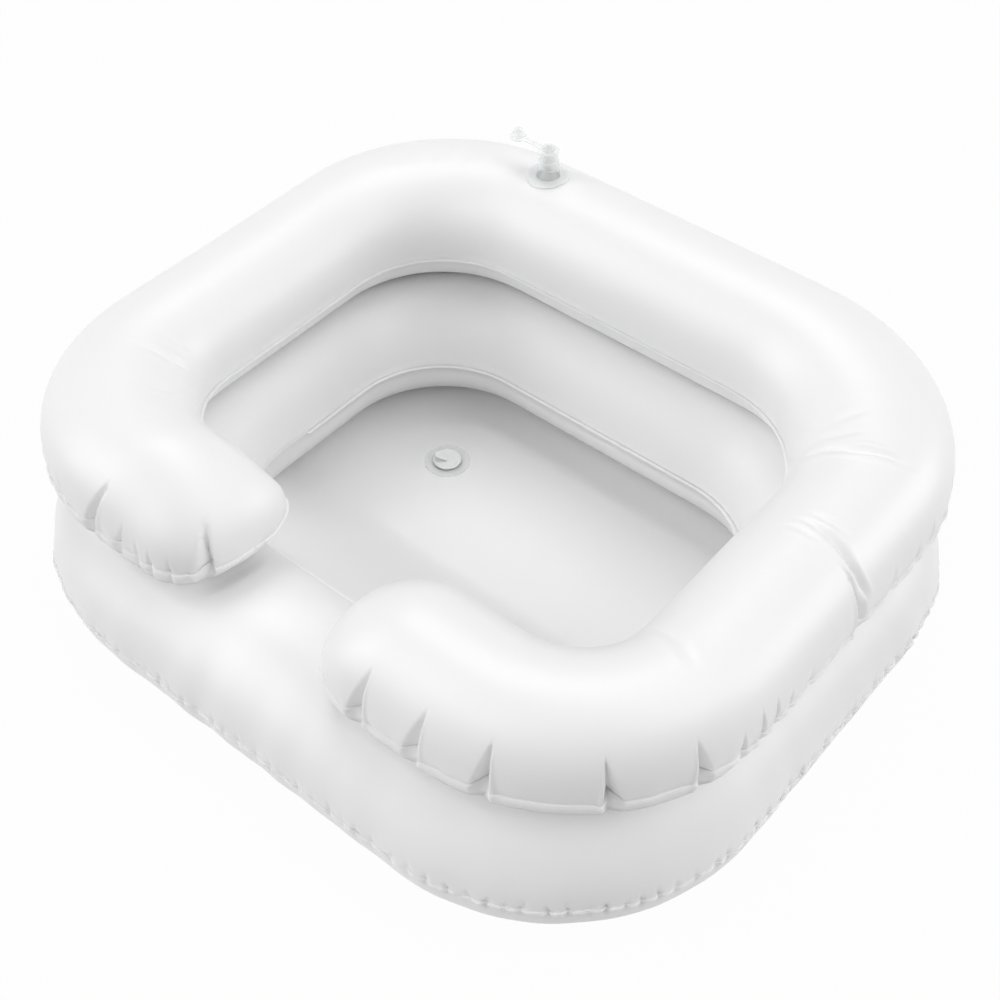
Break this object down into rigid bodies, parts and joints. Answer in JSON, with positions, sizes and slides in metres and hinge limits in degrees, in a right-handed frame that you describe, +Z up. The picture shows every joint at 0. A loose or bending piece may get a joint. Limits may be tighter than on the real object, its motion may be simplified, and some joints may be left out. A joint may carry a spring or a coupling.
{
  "type": "portable shampoo basin",
  "caption": "Inflatable hair-washing basin: a closed lower air ring, an open upper ring with a neck gap, a floor with a drain plug, and push-in air valves.",
  "frame": {"origin": "on the ground under the middle of the object's bounding box", "axes": "+Z up, -Y towards the neck gap, +X to the user's right when facing the neck gap from inside the bowl's back"},
  "size_m": [0.616, 0.54, 0.2463],
  "materials": {
    "white_pvc": "soft semi-gloss inflatable PVC sheet",
    "floor_pvc": "soft semi-gloss PVC sheet",
    "clear_pvc": "clear flexible PVC, glossy",
    "white_plug": "satin flexible PVC"
  },
  "bodies": {
    "basin": {"upper_ring_top_sheet": "white_pvc", "upper_ring_bottom_sheet": "white_pvc", "lower_ring_top_sheet": "white_pvc", "lower_ring_bottom_sheet": "white_pvc", "floor_sheet": "floor_pvc", "drain_flange": "clear_pvc", "upper_valve_flange": "clear_pvc", "lower_valve_flange": "clear_pvc"},
    "drain_plug": {"drain_stopper": "white_plug", "drain_pull_tab": "white_plug"},
    "upper_stem": {"upper_valve_stem": "clear_pvc", "upper_valve_strap": "clear_pvc"},
    "upper_stopper": {"upper_valve_stopper": "clear_pvc"},
    "upper_flap": {"upper_valve_check_flap": "clear_pvc"},
    "lower_stem": {"lower_valve_stem": "clear_pvc", "lower_valve_strap": "clear_pvc"},
    "lower_stopper": {"lower_valve_stopper": "clear_pvc"},
    "lower_flap": {"lower_valve_check_flap": "clear_pvc"}
  },
  "joints": [
    {"name": "drain_plug_lift", "type": "slide", "parent": "basin", "child": "drain_plug", "axis": [0, 0, 1], "range_m": [0, 0.025]},
    {"name": "upper_valve_push", "type": "slide", "parent": "basin", "child": "upper_stem", "axis": [0, 0, -1], "range_m": [0, 0.0209]},
    {"name": "upper_stopper_fold", "type": "hinge", "parent": "upper_stem", "child": "upper_stopper", "pos_m": [-0.1315, 0.207, 0.23845], "axis": [0, 1, 0], "range_deg": [0, 180]},
    {"name": "upper_flap_swing", "type": "hinge", "parent": "upper_stem", "child": "upper_flap", "pos_m": [-0.1233, 0.207, 0.212], "axis": [0, 1, 0], "range_deg": [0, 45], "stiffness_Nm_per_rad": 0.001},
    {"name": "lower_valve_pull", "type": "slide", "parent": "basin", "child": "lower_stem", "axis": [0, 0.8484, 0.5293], "range_m": [0, 0.0209]},
    {"name": "lower_stopper_fold", "type": "hinge", "parent": "lower_stem", "child": "lower_stopper", "pos_m": [-0.1005, 0.25819, 0.09285], "axis": [0, 0.5293, -0.8484], "range_deg": [0, 180]},
    {"name": "lower_flap_swing", "type": "hinge", "parent": "lower_stem", "child": "lower_flap", "pos_m": [-0.1087, 0.23575, 0.07885], "axis": [0, -0.5293, 0.8484], "range_deg": [0, 45], "stiffness_Nm_per_rad": 0.001}
  ]
}
